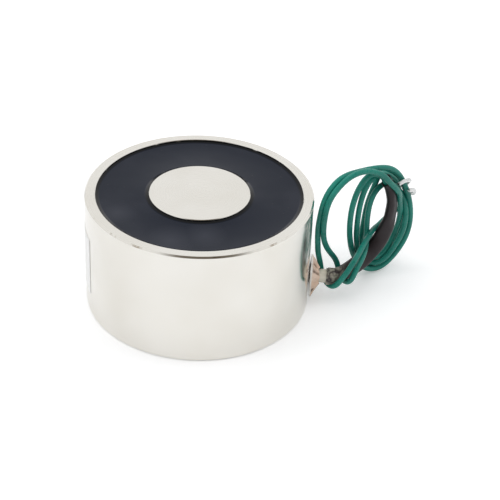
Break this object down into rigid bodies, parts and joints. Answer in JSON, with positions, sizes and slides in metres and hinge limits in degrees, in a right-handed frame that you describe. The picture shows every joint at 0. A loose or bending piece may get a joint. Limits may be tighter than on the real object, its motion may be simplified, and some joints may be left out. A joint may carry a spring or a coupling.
{
  "type": "holding electromagnet",
  "caption": "Round steel pot electromagnet with a flush centre pole, resin-filled coil groove, tapped base and coiled side leads.",
  "frame": {"origin": "centre of the base, on the axis of the pot, where the base stands", "axes": "+Z along the axis from the base to the holding face, +X towards the lead exit"},
  "size_m": [0.0753, 0.05, 0.0296],
  "materials": {
    "nickel_steel": "bright nickel plate over turned steel",
    "bobbin_nylon": "natural moulded nylon",
    "copper": "enamelled copper wire",
    "film": "thin pink-brown insulating film",
    "solder": "dull tin solder",
    "splice_tube": "varnished glass sleeving",
    "lead_green": "smooth dark green insulation",
    "resin": "glossy black potting resin",
    "pale_tube": "off-white sleeving",
    "black_tube": "soft black tubing",
    "tinned": "tinned copper strands",
    "label_white": "blank white paper label"
  },
  "bodies": {
    "root": {"pot_body": "nickel_steel", "bobbin": "bobbin_nylon", "winding": "copper", "winding_film": "film", "tail_start": "copper", "tail_finish": "copper", "joint_start": "solder", "joint_finish": "solder", "splice_start": "splice_tube", "splice_finish": "splice_tube", "lead_start": "lead_green", "lead_finish": "lead_green", "potting": "resin", "exit_film": "film", "exit_sleeve": "pale_tube", "lead_sleeve": "black_tube", "lead_coil": "lead_green", "lead_end_start": "tinned", "lead_end_finish": "tinned", "label": "label_white"}
  },
  "joints": []
}
